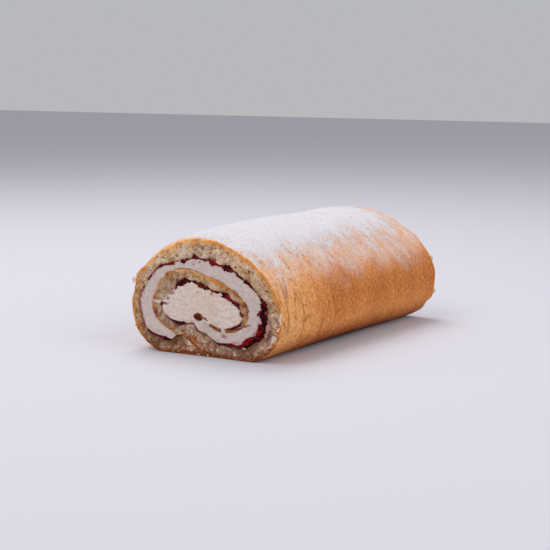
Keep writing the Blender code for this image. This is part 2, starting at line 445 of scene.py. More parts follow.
def crust_relief(angle, y):
    """How far the crust stands out from its even outline."""
    p = crust_texture(angle, y)
    swell = 0.5 * MM * lumps(p, (34, 30, 1), 21)
    bands = 0.2 * MM * lumps(p, (90, 7.5, 1), 22)
    pebble = 0.11 * MM * rough(p, (2.6, 2.0, 1), 23)
    bulge = 1.5 * MM * hump(angle, BULGE_AT, 4.5) * hump(y, NEAR_Y, 7 * MM)
    left = 0.35 + 0.65 * hump(angle, 88, 36)
    scallop = left * MM * lumps(p, (5, 60, 1), 24) * fade(NEAR, y, 5)
    flare = 2.0 * MM * hump(angle, 248, 46) * fade(FAR, y, 9)
    ragged = 0.9 * MM * lumps(p, (6, 60, 1), 25) * fade(FAR, y, 5)
    even = swell + bands + pebble + bulge
    return even + scallop + flare + ragged - CREASE_DEPTH * creases(angle, y)


def outer_point(angle, y, share=0.0, lift=0.0, radius=None):
    """Places on the outer turn of the sheet, with the crust's relief and a lift off the crust.
    The relief dies away through the sheet, and where the crust is out of sight."""
    angle, y = np.broadcast_arrays(np.asarray(angle, float), np.asarray(y, float))
    radius = crust_radius(angle) if radius is None else radius
    flat = in_plane(angle, radius)
    shown = 1 - step(angle, CRUST_TO - 10, CRUST_TO)
    out = crust_relief(angle, y) * shown * (1 - share) ** 2
    off_table = step(flat[..., 1], 0.2 * MM, 5 * MM)
    flat = flat + crust_normal(angle) * (out * off_table + lift)[..., None]
    flat[..., 1] = np.maximum(flat[..., 1], ABOVE_TABLE)
    return place(flat, y)


# --- Building meshes ---

SMOOTH_UP_TO = math.radians(62)


def linked(name, data):
    made = bpy.data.objects.new(name, data)
    bpy.context.scene.collection.objects.link(made)
    return made


def mesh_object(name, vertices, faces, attributes=None):
    """A smooth-shaded object with its faces turned outwards."""
    data = bpy.data.meshes.new(name)
    data.from_pydata(np.asarray(vertices).tolist(), [], faces)
    data.validate()
    for key, values in (attributes or {}).items():
        made = data.attributes.new(key, "FLOAT", "POINT")
        made.data.foreach_set("value", np.asarray(values, np.float32).ravel())
    work = bmesh.new()
    work.from_mesh(data)
    bmesh.ops.recalc_face_normals(work, faces=work.faces)
    work.to_mesh(data)
    work.free()
    data.shade_smooth()
    data.set_sharp_from_angle(angle=SMOOTH_UP_TO)
    return linked(name, data)


def grid_faces(rows, columns, first=0):
    """The faces of a grid of points, counted from first."""
    r, c = np.meshgrid(np.arange(rows - 1), np.arange(columns - 1), indexing="ij")
    a = (first + r * columns + c).ravel()
    return np.stack([a, a + 1, a + columns + 1, a + columns], axis=1).tolist()


def joined(loop, kept, ring, flip):
    """Triangles between a fine loop and a ring of as many points as it keeps."""
    faces = []
    count, width = len(loop), len(kept)
    for k in range(width):
        p, q = kept[k], kept[(k + 1) % width]
        q += count if q <= p else 0
        a, b = ring[k], ring[(k + 1) % width]
        middle = (p + q) // 2
        for i in range(p, q):
            corner = a if i < middle else b
            faces.append((loop[i % count], loop[(i + 1) % count], corner))
        faces.append((a, loop[middle % count], b))
    return [face[::-1] for face in faces] if flip else faces


def layer_mesh(name, cap_faces, loop, kept, near, rings, far):
    """A closed layer: two caps of one layout, joined by rings along the roll. Each is points and
    the values of its attributes; those that the rings don't give are 0 there."""
    loop = loop.tolist()
    count, width, rows = len(near[0]), len(kept), len(rings[0])
    last = count + rows * width
    faces = [tuple(face) for face in cap_faces]
    faces += [tuple(last + i for i in reversed(face)) for face in cap_faces]
    faces += joined(loop, kept, range(count, count + width), True)
    faces += joined([last + i for i in loop], kept, range(last - width, last), False)
    r, c = np.meshgrid(np.arange(rows - 1), np.arange(width), indexing="ij")
    a = (count + r * width + c).ravel()
    b = (count + r * width + (c + 1) % width).ravel()
    faces += np.stack([a, b, b + width, a + width], axis=1).tolist()
    vertices = np.concatenate([near[0], rings[0].reshape(-1, 3), far[0]])
    zero = np.zeros(rows * width)
    values = {
        key: np.concatenate([value, np.ravel(rings[1].get(key, zero)), far[1][key]])
        for key, value in near[1].items()
    }
    return mesh_object(name, vertices, faces, values)


def even_rings(flat, inset, count):
    """Plain rings through points (x, z) of the section, from an inset off one end to the other."""
    ys = np.linspace(off(NEAR, -inset), off(FAR, -inset), count)
    return np.stack([place(flat, y) for y in ys]), {}


def finish_piece(piece, material, slot, *nodes):
    """Gives a piece its material and its place in the frame, and hides the CAD parts that it
    replaces.
    """
    piece.data.materials.append(material)
    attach(piece, "root")
    if nodes:
        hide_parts(*nodes)


# --- The cut faces ---

JAM_BACK = 0.9 * MM


def cut_wave(flat, end):
    """The slow unevenness that the knife left, outwards from the end of the roll."""
    return 0.45 * MM * lumps(flat3(flat, 0.5 * end), 26, 31) - 0.1 * MM


def off_end(flat, height, end):
    """Points of a cut face that stand out by height from the end of the roll."""
    return place(flat, off(end, height + cut_wave(flat, end)))


def jam_edges(angle):
    """The radii between which jam shows at a cut."""
    middle = seam_radius(angle) - run_thickness(angle) / 2 - jam_line_stray(angle)
    half = jam_line_thickness(angle) * MM / 2
    return middle + half, middle - half


def jam_within(angle, radius, flat, end):
    """How far inside the jam's ragged edges each point of a cut is, negative where outside."""
    outer, inner = jam_edges(angle)
    p = flat3(flat, 0.4 * end)
    ragged = 1.1 * MM * rough(p, 2.8, 81, 4) + 0.35 * MM * lumps(p, 1.1, 82)
    ragged = ragged * np.clip(0.5 + 0.35 * jam_line_thickness(angle), 0.5, 1.4)
    sway = 0.45 * MM * lumps(p, 5, 84)
    thin = 0.4 * MM * (1 - step(jam_line_thickness(angle), 0.2, 0.8))
    return np.minimum(outer - radius - sway, radius + sway - inner) + ragged - thin


def below_jam(angle, radius, flat, end):
    """How far the sponge and the cream stand back at a cut so that the jam shows."""
    shows = step(jam_line_thickness(angle), 0.2, 0.9)
    shows = shows * step(angle, JAM_FROM - 3, JAM_FROM) * (1 - step(angle, JAM_TO - 24, JAM_TO - 8))
    within = jam_within(angle, radius, flat, end)
    return JAM_BACK * shows * step(within, -0.4 * MM, 0.25 * MM)


def soaked(angle, radius, flat, end):
    """How much, from 0 to 1, the sponge or the cream at a cut is stained by the jam near it."""
    outer, inner = jam_edges(angle)
    away = np.maximum(radius - outer, inner - radius)
    reach = (0.75 + 0.7 * jam_line_thickness(angle)) * MM
    patch = 0.75 + 0.7 * lumps(flat3(flat, 0.3 * end), 3.2, 41)
    patch = patch * (1 - 0.6 * hump(angle, 208, 30) - 0.5 * hump(angle, 545, 45))
    has_jam = step(angle, JAM_FROM - 4, JAM_FROM) * (1 - step(angle, JAM_TO - 6, JAM_TO + 2))
    return np.clip(np.exp(-np.maximum(away, 0) / reach) * patch, 0, 1) * has_jam


# What was smeared over the cuts. Each row: x, z, half length and half width in mm, the turn in
# degrees of its length from level, and how much it covers, from 0 to 1.
CREAM_ON_SPONGE = (
    (-33.5, 30.8, 5, 1.6, 6, 0.62), (1, 21.4, 3.4, 2.4, -24, 1), (12.6, 17.2, 2.4, 1.6, -20, 1),
    (46.2, 15, 4.4, 2.2, 62, 0.72), (44.2, 10.6, 2.8, 1.6, 50, 0.5), (51, 27, 6, 0.6, 86, 0.75),
    (49.4, 21, 2.6, 0.9, 60, 0.8), (-50, 42.5, 2.2, 1.6, 60, 0.9), (-28.5, 57, 2, 0.8, 25, 0.6),
    (27, 7.6, 1.6, 0.8, 15, 0.8),
)
JAM_ON_SPONGE = (
    (44, 25, 8, 2, 88, 0.42), (43.2, 16.6, 4.6, 1.6, 66, 0.7), (48.8, 20.5, 3, 0.9, 64, 0.6),
    (20.5, 18.4, 6, 0.8, 12, 0.9),
)
JAM_ON_CREAM = (
    (-4.8, 39.2, 0.9, 0.9, 0, 0.6), (-7.2, 55.6, 0.8, 0.6, 0, 1), (5.2, 39.2, 1.5, 1, 30, 0.7),
    (13.4, 13.8, 2.3, 1.5, 10, 0.6), (23, 11, 4.5, 1.2, 8, 0.35), (33, 17, 3, 1.6, 50, 0.4),
    (36.6, 23.5, 3, 1.2, 80, 0.45), (28.6, 21.4, 4.4, 0.8, 16, 0.9), (36.2, 29, 1.5, 0.9, 60, 0.8),
    (-27.8, 30.2, 2.6, 0.7, -8, 0.9), (-23, 36.8, 2.4, 0.8, 4, 0.8),
    (-25.5, 33.4, 1.4, 1, 30, 0.7), (-20, 40.4, 1.4, 0.9, 40, 0.7), (5.6, 56.6, 1.8, 1.2, 20, 0.8),
    (-3.4, 57.2, 1, 0.7, 0, 0.6), (24, 20.6, 2.6, 0.6, 30, 0.7), (0.4, 23.4, 1.4, 1, 20, 0.6),
)


def smeared(flat, rows, end):
    """How much, from 0 to 1, each point of a cut is covered. The far cut has half of the rows."""
    ragged = 0.5 * rough(flat3(flat, 0.9 * end), 2.0, 43)
    cover = np.zeros(flat.shape[:-1])
    for x, z, length, width, turn, strength in rows if end == NEAR else rows[::2]:
        turned = math.radians(turn)
        right, up = flat[..., 0] - x * MM, flat[..., 1] - z * MM
        along = (right * math.cos(turned) + up * math.sin(turned)) / (length * MM)
        across = (up * math.cos(turned) - right * math.sin(turned)) / (width * MM)
        reach = np.clip(1.5 - 1.2 * np.hypot(along, across) + ragged, 0, 1)
        cover = np.maximum(cover, strength * reach)
    return cover


def strip(start, end, spacing, across, keep, shown_to=0, shown_keep=1):
    """A grid over a strip of the section, as winding angle and share across, its faces, the loop
    round its edge, and the places of the loop that the rings keep: the corners and one in keep,
    but one in shown_keep along the outer edge up to the angle shown_to."""
    angles = spiral(start, end, spacing)
    angle, share = np.meshgrid(angles, np.linspace(0, 1, across), indexing="ij")
    index = np.arange(angle.size).reshape(angle.shape)
    loop = np.concatenate([index[:, 0], index[-1, 1:-1], index[::-1, -1], index[0, -2:0:-1]])
    count = len(angles)
    shown = int(np.searchsorted(angles, shown_to))
    kept = {count - 1, *range(0, shown, shown_keep), *range(shown, count, keep)}
    back = range(count + across - 2, 2 * count + across - 2)
    kept |= {back[-1], *back[::keep]}
    return angle.ravel(), share.ravel(), grid_faces(count, across), loop, sorted(kept)


# --- Sponge ---

CRUMB_STEP = 0.45 * MM
THROUGH = 24
CRUST_KEEP = 4
HIDDEN_KEEP = 40
CLOSE_ROWS = 0.6 * MM
WIDE_ROWS = 1.0 * MM
CLOSE_REACH = 34 * MM


def rows_along():
    """Stations along the roll, closer together where the creases are deepest."""
    turn = NEAR_Y + CLOSE_REACH
    close = np.arange(NEAR_Y + CLOSE_ROWS, turn, CLOSE_ROWS)
    count = int((LENGTH - CLOSE_REACH) / WIDE_ROWS)
    return np.concatenate([close, np.linspace(turn, FAR_Y - CLOSE_ROWS, count)])


def edge_round(angle, end):
    """The radius of the crust's rounding at a cut. The knife dragged it over at the upper left."""
    if end == FAR:
        return (0.6 + 1.1 * hump(angle, 230, 35)) * MM
    return (0.55 + 2.6 * hump(angle, 147, 27)) * MM


def rounded_off(angle, depth, end):
    """How far a cut falls back near the crust by that rounding."""
    bend = edge_round(angle, end) * (angle < CRUST_TO)
    into = np.clip(1 - depth / np.maximum(bend, 1e-6), 0, 1)
    return bend * (1 - np.sqrt(np.maximum(1 - into**2, 0)))


def drawn_in(angle, y, end):
    """How far the crust is drawn in along the roll by its rounding at a cut."""
    return edge_round(angle, end) * fade(end, y, ROUNDING_REACH)


def crumb_height(flat, end):
    """The torn, porous surface of cut sponge: its height, how deep in a pore each point is, and
    how far a crumb stands out there, from about -1 to 1."""
    p = flat3(flat, 0.7 * end)
    p = p + 0.6 * MM * np.stack([lumps(p, 1.7, 48), 0 * p[..., 0], lumps(p, 1.7, 49)], axis=-1)
    small, own = pores(p, 1.9, 51)
    large, its = pores(p, 4.4, 55)
    pit = np.clip(1.25 - small / (0.1 + 0.34 * own**2), 0, 1)
    pit = np.maximum(pit, np.clip(1.2 - large / (0.05 + 0.22 * its**3), 0, 1))
    torn = 1.25 * rough(p, 2.3, 52, 4) + 0.35 * lumps(p, 5.5, 53)
    height = 0.42 * MM * torn + 0.12 * MM * lumps(p, 0.95, 54)
    return height - (0.3 + 0.4 * own) * MM * pit, pit, torn


def sponge_cap(angle, share, end):
    """A cut face of the sheet, and the values that its material reads."""
    outer, inner = crust_radius(angle), seam_radius(angle)
    radius = outer + (inner - outer) * share
    flat = in_plane(angle, radius)
    depth = (outer - inner) * share
    height, pit, torn = crumb_height(flat, end)
    calm = step(depth, 0.3 * MM, 1.8 * MM)
    knob = 1.1 * MM * hump(angle, SHEET_END, 9) * hump(share, 0.5, 0.45)
    knob = knob + 1.1 * MM * hump(angle, JAM_TO, 10) * (1 - 0.5 * share)
    height = height * (0.35 + 0.65 * calm) - rounded_off(angle, depth, end) + knob
    height = height + cut_wave(flat, end) - below_jam(angle, radius, flat, end)
    point = outer_point(angle, off(end, 0), share, radius=radius)
    point[..., 1] = off(end, height)
    values = crust_values(angle, off(end, 0)) | {
        "depth": depth / MM,
        # The pits of the crumb, which the material paints dark as shade.
        "pore_shade": pit * calm,
        "torn": torn * calm,
        "stain": np.maximum(soaked(angle, radius, flat, end), smeared(flat, JAM_ON_SPONGE, end)),
        "smear": smeared(flat, CREAM_ON_SPONGE, end),
        "cut": np.ones(angle.shape),
        "line": brown_line(angle),
        "brown": brown_shade(angle),
        # The crumb's brightness here is painted light and shade, partly damper crumb.
        "bright": crumb_light_shade_and_damp(angle),
        "strong": crumb_strong(angle),
    }
    return point, values


def sugar_dust(angle, y):
    """How thickly, from 0 to 1, icing sugar lies on the crust."""
    p = crust_texture(angle, y)
    from_top = np.abs(angle - TOP + 8 * rough(p, (24, 20, 1), 61))
    dense = 1 - step(from_top, 20, 88)
    dense = dense * (1 - 0.62 * fade(FAR, y, 10) - 0.5 * fade(NEAR, y, 1.2))
    dense = dense * (1 - 0.3 * fade(NEAR, y, 16)) * (1 + 0.2 * rough(p, (8, 5, 1), 62))
    return np.clip(dense, 0, 1)


def bake(angle, y):
    """How dark the crust is baked: from about 0 to 1, and up to 2 at the foot of both sides."""
    along = (y - NEAR_Y) / MM
    band = 0.62 * hump(angle, 266, 22) * step(along, 14, 75)
    low = np.interp(angle, (285, 291, 305, 318, 332), (0, 0.45, 2.0, 2.0, 0.4))
    low = low + np.interp(angle, (30, 44, 57, 76, 84), (0.4, 1.3, 1.3, 0.3, 0))
    low = low * (0.4 + 0.6 * step(along, 4, 75)) * (1 - 0.3 * step(along, 90, 165))
    foot = 0.9 * hump(angle, 345, 11) + 0.9 * hump(angle, 12, 18)
    left = 0.5 * hump(angle, 92, 26)
    inner = 0.45 * step(angle, CRUST_TO, CRUST_TO + 30) + 0.6 * step(angle, 664, 690)
    mottle = 0.16 * rough(crust_texture(angle, y), (22, 9, 1), 66)
    paler = 0.3 * fade(NEAR, y, 22)
    return np.clip(0.1 + band + low + foot + left + inner + mottle - paler, -0.3, 2)


def crust_values(angle, y):
    """The values that the crust's colours read."""
    angle, y = np.broadcast_arrays(angle, y)
    return {
        "dust": sugar_dust(angle, y),
        "bake": bake(angle, y),
        "crease": creases(angle, y),
        "run": run_at(angle) / MM,
    }


def build_sponge(material):
    angle, share, faces, loop, kept = strip(
        0, SHEET_END, CRUMB_STEP, THROUGH, HIDDEN_KEEP, CRUST_TO + 4, CRUST_KEEP
    )
    a, y = np.meshgrid(angle[loop][kept], rows_along())
    s = np.broadcast_to(share[loop][kept], a.shape)
    depth = (crust_radius(a) - seam_radius(a)) * s
    moved = y + (drawn_in(a, y, NEAR) - drawn_in(a, y, FAR)) * (s == 0)
    rings = outer_point(a, moved, s, radius=crust_radius(a) - depth)
    values = crust_values(a, moved) | {"depth": depth / MM}
    near, far = (sponge_cap(angle, share, end) for end in (NEAR, FAR))
    piece = layer_mesh("sponge_sheet", faces, loop, kept, near, (rings, values), far)
    finish_piece(piece, material, "sponge", "sponge")


# --- Cream ---

CREAM_STEP = 0.6 * MM
CREAM_KEEP = 12
CREAM_ROWS = 10
CREAM_INSET = 1.5 * MM
CREAM_UNDER = 0.9 * MM
CREAM_OVER = 0.1 * MM


def cream_outline():
    """The outline of the cream in a section: in along the jam, and out along the crust."""
    past_tip = SHEET_END + TIP_CLEARANCE
    inward = spiral(CREAM_FROM, past_tip, CREAM_STEP)
    outward = spiral(CREAM_FROM + 360, past_tip, CREAM_STEP)[::-1]
    along_jam = in_plane(inward, seam_radius(inward) - run_thickness(inward) + CREAM_OVER)
    along_crust = in_plane(outward, crust_radius(outward) - CREAM_UNDER)
    return np.concatenate([along_jam, along_crust])


def turn_in_cream(flat):
    """The winding angle of each point of the cream, and its radius."""
    base = angle_at(flat[..., 0], flat[..., 1])
    radius = np.hypot(flat[..., 0] - POLE[0], flat[..., 1] - POLE[1])
    angle = np.where(radius < crust_radius(base + 360) - 1.3 * CREAM_UNDER, base + 360, base)
    return angle, radius


def cream_layout():
    """The triangles of a cream cap: points (x, z), faces, and the loop round the edge."""
    outline = cream_outline()
    low, high = outline.min(0), outline.max(0)
    rows = np.arange(low[1], high[1], CREAM_STEP * 0.87)
    x, z = np.meshgrid(np.arange(low[0], high[0], CREAM_STEP), rows)
    x = x + (np.arange(len(x)) % 2)[:, None] * CREAM_STEP / 2
    inner = np.stack([x.ravel(), z.ravel()], axis=1)
    clear = [np.hypot(*(outline - point).T).min() for point in inner]
    inner = inner[np.array(clear) > CREAM_STEP * 0.6]
    points = np.concatenate([outline, inner]) / MM
    edge = list(range(len(outline)))
    made = geometry.delaunay_2d_cdt([Vector(p) for p in points], [], [edge], 1, 1e-6)
    used = sorted({i for face in made[2] for i in face})
    new = {old: i for i, old in enumerate(used)}
    flat = np.array([tuple(made[0][i]) for i in used]) * MM
    faces = [tuple(new[i] for i in face) for face in made[2]]
    began = {old: i for i, olds in enumerate(made[3]) for old in olds}
    return flat, faces, np.array([new[began[i]] for i in edge])


def cream_cap(flat, end):
    """A cut face of the cream, and the values that its material reads."""
    angle, radius = turn_in_cream(flat)
    p = flat3(flat, 0.6 * end)
    swell = 0.3 * MM * lumps(p, 8, 71) + 0.34 * MM * rough(p, (3.4, 1000, 2.0), 72, 4)
    near_pit, own = pores(p, 4.5, 73)
    pit = np.clip(1 - near_pit / (0.06 + 0.12 * own), 0, 1)
    ragged = 0.6 * MM * rough(p, 2.2, 76) + 0.4 * MM * lumps(p, 6, 77) + 0.2 * MM
    under = np.where(angle + 360 < SHEET_END, crust_radius(angle + 360) - radius, -1)
    under = np.where(under > 2 * CREAM_UNDER, -1, under)
    height = 0.12 * MM + swell - 0.45 * MM * pit - 2 * np.clip(under + ragged, 0, CREAM_UNDER)
    height = height - below_jam(angle, radius, flat, end)
    halo = 0.25 + 0.45 * hump(angle, 92, 34) + 0.3 * hump(angle, 455, 30)
    halo = halo * soaked(angle, radius, flat, end)
    stain = np.maximum(halo, smeared(flat, JAM_ON_CREAM, end))
    ring = (1 - step(angle, 335, 390)) * step(radius, 5 * MM, 9 * MM)
    return off_end(flat, height, end), {"stain": stain, "ring": ring}


def build_cream(material):
    flat, faces, loop = cream_layout()
    kept = range(0, len(loop), CREAM_KEEP)
    rings = even_rings(flat[loop][kept], CREAM_INSET, CREAM_ROWS)
    near, far = (cream_cap(flat, end) for end in (NEAR, FAR))
    piece = layer_mesh("cream_filling", faces, loop, kept, near, rings, far)
    finish_piece(piece, material, "cream", "cream")


# --- Jam ---

JAM_STEP = 0.45 * MM
JAM_ACROSS = 17
JAM_MARGIN = 1.7 * MM
JAM_KEEP = 14
JAM_ROWS = 9
JAM_INSET = 2.5 * MM


def jam_cap(angle, share, end):
    """The jam's surface at a cut. It runs past the jam's edges on both sides, where it dips out
    of sight under the sponge and the cream."""
    outer, inner = jam_edges(angle)
    radius = outer + JAM_MARGIN + (inner - outer - 2 * JAM_MARGIN) * share
    flat = in_plane(angle, radius)
    within = jam_within(angle, radius, flat, end)
    dome = 0.5 * MM * (1 - np.exp(-np.maximum(within, 0) / (0.6 * MM)))
    height = np.where(within > 0, dome, 0.9 * within)
    height = np.maximum(height + 0.2 * MM * rough(flat3(flat, 0.4 * end), 1.6, 83), -1.2 * MM)
    red = hump(angle, 301, 13) * step(share, 0.42, 0.6)
    red = red + 0.8 * hump(angle, 284, 5) * step(share, 0.3, 0.5)
    red = red + 0.7 * hump(angle, 196, 7) + 0.4 * hump(angle, 604, 8)
    return off_end(flat, height, end), {"thick": jam_line_thickness(angle), "red": red}


def build_jam(material):
    angle, share, faces, loop, kept = strip(
        JAM_FROM - 1, JAM_TO + 2, JAM_STEP, JAM_ACROSS, JAM_KEEP
    )
    a, s = angle[loop][kept], share[loop][kept]
    radius = seam_radius(a) + JAM_THICK / 2 - (JAM_THICK + run_thickness(a)) * s
    rings = even_rings(in_plane(a, radius), JAM_INSET, JAM_ROWS)
    near, far = (jam_cap(angle, share, end) for end in (NEAR, FAR))
    piece = layer_mesh("berry_jam", faces, loop, kept, near, rings, far)
    finish_piece(piece, material, "jam", "jam")


# --- Bits on the cuts ---

# Lumps that stand out of a cut. Each row: x, z, half length, half width and height in mm, and the
# turn in degrees of its length from level.
CREAM_BITS = (
    (0.6, 22, 1.5, 1.1, 0.7, -30), (3, 21.2, 2.2, 0.8, 0.5, -24), (12.8, 17.3, 2.2, 1, 0.5, -20),
    (45.3, 13.2, 1.3, 0.7, 0.4, 62), (46.6, 16, 1, 0.7, 0.4, 80), (47.7, 18.6, 0.7, 0.4, 0.3, 50),
    (44, 10.8, 0.8, 0.5, 0.3, 40), (51.2, 29.2, 1.4, 0.3, 0.25, 84), (51, 25.4, 1, 0.3, 0.25, 96),
    (-49.6, 43.2, 1.8, 1.3, 0.8, 60), (26.6, 7.9, 0.9, 0.5, 0.3, 20), (-4.6, 1, 1.7, 0.4, 0.4, 5),
    (1.8, 1.1, 0.8, 0.45, 0.4, -20),
)
FAR_BITS = (
    (50.3, 40.5, 2, 1.2, 1, 80), (51.6, 19, 2.6, 1.5, 1.2, 80), (-30, 6, 1.6, 0.9, 0.6, 10),
)
JAM_BITS = (
    (36.4, 29.2, 1.3, 0.8, 0.3, 60), (32, 22.4, 1.6, 0.4, 0.2, 12), (5.8, 56.4, 1.4, 0.9, 0.4, 20),
    (-28, 30.3, 2, 0.5, 0.35, -8),
)
FRUIT_BITS = (
    (27, 10.6, 1.7, 1, 0.4, 20), (29.3, 11, 1.3, 1.3, 0.45, 60), (31.6, 12.7, 2.6, 0.9, 0.4, 32),
    (35.2, 15.2, 2.8, 0.8, 0.45, 42), (37.8, 18.4, 2.4, 0.8, 0.45, 62),
    (37.4, 30.4, 1.5, 0.8, 0.5, 80), (9.6, 57, 1.8, 0.8, 0.5, -16), (16, 55.4, 1.5, 0.9, 0.5, -30),
    (-15.6, 43.6, 1.9, 1.2, 0.6, -30), (-24, 54.8, 2.2, 0.6, 0.4, 24),
)
TIP_BITS = (
    (-4.4, 23.7, 2.8, 2.4, 1.3, 20), (0.4, 23, 1, 0.6, 0.7, -40),
)
RIM_BITS = (
    (-2.2, 24.4, 0.8, 1.6, 1.5, 6), (1.4, 22.4, 1, 0.6, 0.7, -25),
)
BIT_RINGS = 7
BIT_SPOKES = 30
BIT_BACK = 1.2 * MM


def bit(row, number, end):
    """A ragged lens stuck on a cut, closed at the back: points and faces."""
    x, z, length, width, height = (value * MM for value in row[:5])
    turn = math.radians(row[5])
    around = np.linspace(0, 2 * math.pi, BIT_SPOKES, endpoint=False)
    out = np.linspace(0, 1, BIT_RINGS + 1)[1:, None]
    circle = MM * np.stack([np.cos(around), np.sin(around), 0 * around + 3 * number], axis=-1)
    reach = out * (1 + 0.5 * rough(circle, 0.9, 201))
    along, across = length * reach * np.cos(around), width * reach * np.sin(around)
    flat = np.stack([
        x + along * math.cos(turn) - across * math.sin(turn),
        z + along * math.sin(turn) + across * math.cos(turn),
    ], axis=-1)
    rise = height * (1 - out**3) * (0.8 + 0.5 * lumps(flat3(flat), 1.3, 203)) - 0.35 * MM * out**6
    flat = np.concatenate([[(x, z)], flat.reshape(-1, 2), [(x, z)]])
    points = off_end(flat, np.concatenate([[height], rise.ravel(), [-BIT_BACK]]), end)
    last = len(points) - 1
    edge = last - BIT_SPOKES
    faces = []
    for i in range(BIT_SPOKES):
        j = (i + 1) % BIT_SPOKES
        faces += [(0, 1 + i, 1 + j), (last, edge + j, edge + i)]
        for ring in range(1, edge, BIT_SPOKES):
            faces.append((ring + i, ring + BIT_SPOKES + i, ring + BIT_SPOKES + j, ring + j))
    return points, faces


def gathered(parts):
    """One array of points and one list of faces, for parts that each have their own."""
    faces, first = [], 0
    for points, own in parts:
        faces += [tuple(first + i for i in face) for face in own]
        first += len(points)
    return np.concatenate([points for points, own in parts]), faces


def build_bits(name, near_rows, far_rows, material, slot):
    """One piece of all the bits of a kind. Each bit's number makes its shape its own."""
    parts = [bit(row, number, NEAR) for number, row in enumerate(near_rows)]
    parts += [bit(row, number, FAR) for number, row in enumerate(far_rows, 20)]
    finish_piece(mesh_object(name, *gathered(parts)), material, slot)


# --- Crumbs ---

CRUMBS = 150
CRUMB_SEED = 19
CRUMB_SIZES = (0.22 * MM, 0.75 * MM)
SEAM_AT = 366


def ball():
    """A coarse ball of radius 1: points and faces."""
    work = bmesh.new()
    bmesh.ops.create_icosphere(work, subdivisions=2, radius=1)
    points = np.array([tuple(vertex.co) for vertex in work.verts])
    faces = [tuple(vertex.index for vertex in face.verts) for face in work.faces]
    work.free()
    return points, faces


def build_crumbs(material):
    """Torn crumbs that cling to the sponge of both cuts, most of them near the crust and some
    at the seam, where the outer end of the sheet meets the turn inside it."""
    random = np.random.default_rng(CRUMB_SEED)
    unit, faces = ball()
    angle = random.uniform(4, 680, CRUMBS)
    at_seam = random.uniform(0, 1, CRUMBS) < 0.1
    angle = np.where(at_seam, random.normal(SEAM_AT, 9, CRUMBS), angle)
    share = random.uniform(0, 1, CRUMBS) ** 1.4
    outer = crust_radius(angle)
    radius = outer + (seam_radius(angle) - outer) * np.clip(share, 0.06, 0.92)
    size = np.interp(random.uniform(0, 1, CRUMBS) ** 2.5, (0, 1), CRUMB_SIZES)
    parts = []
    for number in range(CRUMBS):
        end = FAR if number % 3 == 0 else NEAR
        flat = in_plane(angle[number], radius[number])[None]
        centre = off_end(flat, 0.2 * MM, end)
        stretch = random.uniform(0.6, 1.3, 3)
        shape = unit * stretch * (1 + 0.6 * rough((unit + 5 * number) * MM, 0.8, 301))[:, None]
        parts.append((centre + shape * size[number], faces))
    points, faces = gathered(parts)
    points[:, 2] = np.maximum(points[:, 2], ABOVE_TABLE)
    finish_piece(mesh_object("crumbs", points, faces), material, "sponge")


# --- Icing sugar ---

SUGAR_FROM = 116
SUGAR_TO = 242
SUGAR_STEP = 0.8 * MM
SUGAR_ROW = 0.7 * MM
SUGAR_UNDER = 0.8 * MM
SUGAR_THICK = 0.42 * MM
SUGAR_LIFTS = (-0.4 * MM, 0.6 * MM)
SUGAR_INSET = 0.3 * MM
UNDER_KEEP = 3
GRAINS = 5000
GRAIN_SEED = 7
GRAIN_SIZES = (0.06 * MM, 0.2 * MM)
OCTAHEDRON = np.array([(1, 0, 0), (-1, 0, 0), (0, 1, 0), (0, -1, 0), (0, 0, 1), (0, 0, -1)], float)
OCTAHEDRON_FACES = np.array((
    (0, 2, 4), (2, 1, 4), (1, 3, 4), (3, 0, 4), (2, 0, 5), (1, 2, 5), (3, 1, 5), (0, 3, 5),
))


def sugar_height(angle, y):
    """The top of the sugar over the crust. Where it is below the crust the crust shows."""
    p = crust_texture(angle, y)
    fine = 0.5 * rough(p, (2.6, 1.5, 1), 91) + 0.25 * rough(p, (7, 4, 1), 92)
    return (1.3 * sugar_dust(angle, y) - 0.62 + fine) * SUGAR_THICK


def edge_loop(index):
    """The vertices round the edge of a grid, in order."""
    return np.concatenate([index[0], index[1:, -1], index[-1, -2::-1], index[-2:0:-1, 0]])


def fitted(start, end, spacing):
    """Stations from start to end, as many as leave whole groups of UNDER_KEEP between them."""
    count = UNDER_KEEP * round(abs(end - start) / spacing / UNDER_KEEP)
    return np.linspace(start, end, count + 1)


def sugar_grid():
    """The layer's winding angles and y, and how far its top is lifted off the crust."""
    run = fitted(run_at(SUGAR_FROM), run_at(SUGAR_TO), SUGAR_STEP)
    ys = fitted(off(NEAR, -SUGAR_INSET), off(FAR, -SUGAR_INSET), SUGAR_ROW)
    angle, y = np.meshgrid(np.interp(run, FINE_RUN, FINE_ANGLES), ys)
    edge = np.minimum(y - NEAR_Y, FAR_Y - y)
    lift = np.clip(sugar_height(angle, y), *SUGAR_LIFTS)
    lift = lift - 0.4 * MM * np.exp(-edge / (0.7 * MM))
    return angle, y + drawn_in(angle, y, NEAR), lift


def build_sugar(material):
    angle, y, lift = sugar_grid()
    coarse = np.s_[::UNDER_KEEP, ::UNDER_KEEP]
    under_angle, under_y = angle[coarse], y[coarse]
    top = outer_point(angle, y, lift=lift)
    under = outer_point(under_angle, under_y, lift=-SUGAR_UNDER)
    index = np.arange(angle.size).reshape(angle.shape)
    under_index = index.size + np.arange(under_angle.size).reshape(under_angle.shape)
    first = index.size + under_angle.size
    loop = edge_loop(index).tolist()
    faces = grid_faces(*angle.shape) + grid_faces(*under_angle.shape, index.size)
    faces += joined(loop, range(0, len(loop), UNDER_KEEP), edge_loop(under_index).tolist(), False)
    grains, grain_faces, grain_angle, grain_y = sugar_grains(first)
    points = np.concatenate([top.reshape(-1, 3), under.reshape(-1, 3), grains])
    values = crust_values(
        np.concatenate([angle.ravel(), under_angle.ravel(), grain_angle]),
        np.concatenate([y.ravel(), under_y.ravel(), grain_y]),
    )
    values["grain"] = np.arange(len(points)) >= first
    piece = mesh_object("icing_sugar", points, faces + grain_faces, values)
    finish_piece(piece, material, "sponge")


